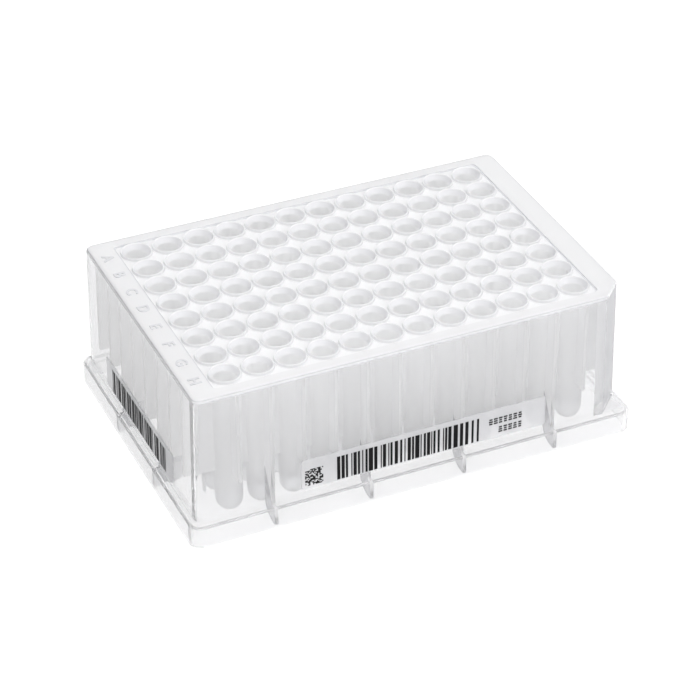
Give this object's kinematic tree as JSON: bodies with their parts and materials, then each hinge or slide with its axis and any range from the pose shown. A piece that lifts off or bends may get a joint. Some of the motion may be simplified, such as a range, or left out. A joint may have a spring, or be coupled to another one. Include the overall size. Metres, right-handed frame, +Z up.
{
  "type": "well plate",
  "caption": "Deep-well laboratory plate: a flanged, slightly tapering open-bottomed frame whose deck carries a grid of round wells with U-shaped bottoms and raised sealing rims.",
  "frame": {"origin": "middle of the footprint, on the surface the plate rests on", "axes": "+Z up; +X from column 1 to column 12; +Y from row H to row A"},
  "size_m": [0.1278, 0.0854, 0.044],
  "materials": {
    "plate_moulding": "natural unpigmented polypropylene, injection moulded, translucent",
    "label_film": "printed matt adhesive film"
  },
  "bodies": {
    "root": {"plate": "plate_moulding", "front_label": "label_film", "side_label": "label_film"}
  },
  "joints": []
}
